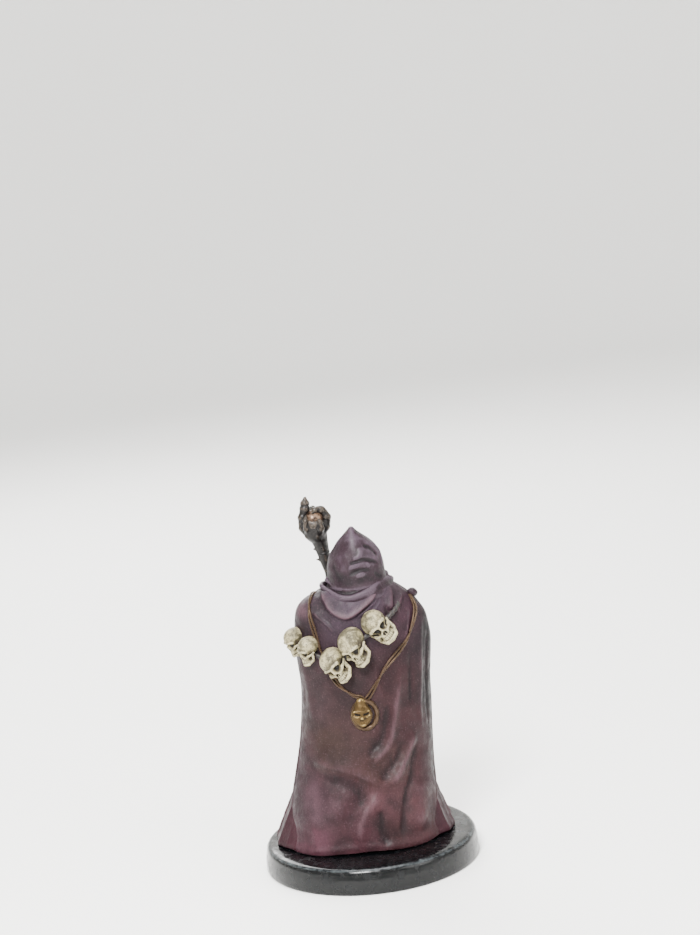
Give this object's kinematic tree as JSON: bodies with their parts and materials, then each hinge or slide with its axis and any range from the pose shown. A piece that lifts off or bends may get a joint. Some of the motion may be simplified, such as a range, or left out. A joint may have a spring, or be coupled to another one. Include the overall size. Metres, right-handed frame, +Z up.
{
  "type": "painted tabletop miniature figure",
  "caption": "Hooded robed figure with a claw-topped staff, small skulls and a mask pendant on its back, on a round black base.",
  "frame": {"origin": "centre of the round base's underside, where the miniature stands on the table", "axes": "+Z up, the figure faces -Y, its left hand is on the +X side and the skulls on its back face +Y"},
  "size_m": [0.0254, 0.0254, 0.043],
  "materials": {
    "base_gloss_black": "gloss black paint over plastic",
    "robe_purple": "hand-painted dark purple, satin varnish",
    "cape_plum": "hand-painted plum brown with mauve highlights, satin varnish",
    "hood_mauve": "hand-painted grey mauve, satin varnish",
    "skin": "hand-painted skin, matt",
    "staff_dark": "hand-painted dark grey, satin varnish",
    "old_gold": "metallic gold paint with a brown wash",
    "mask_gold": "metallic gold paint, brighter on the brow and eyelids",
    "orb": "gloss bronze paint",
    "cord_dark": "painted dark brown",
    "bone": "hand-painted bone with brown wash in the recesses"
  },
  "bodies": {
    "root": {"base_disc": "base_gloss_black", "robe_body": "robe_purple", "left_sleeve": "robe_purple", "right_sleeve": "robe_purple", "left_hand": "skin", "right_hand": "skin", "head": "skin", "staff_shaft": "staff_dark", "staff_claw": "old_gold", "staff_orb": "orb", "cape": "cape_plum", "cowl": "hood_mauve", "hood": "hood_mauve", "necklace_chain": "old_gold", "skull_cord": "cord_dark", "shoulder_toggle": "old_gold", "pendant_mask": "mask_gold", "pendant_frame": "old_gold", "skull_1": "bone", "skull_2": "bone", "skull_3": "bone", "skull_4": "bone", "skull_5": "bone"}
  },
  "joints": []
}
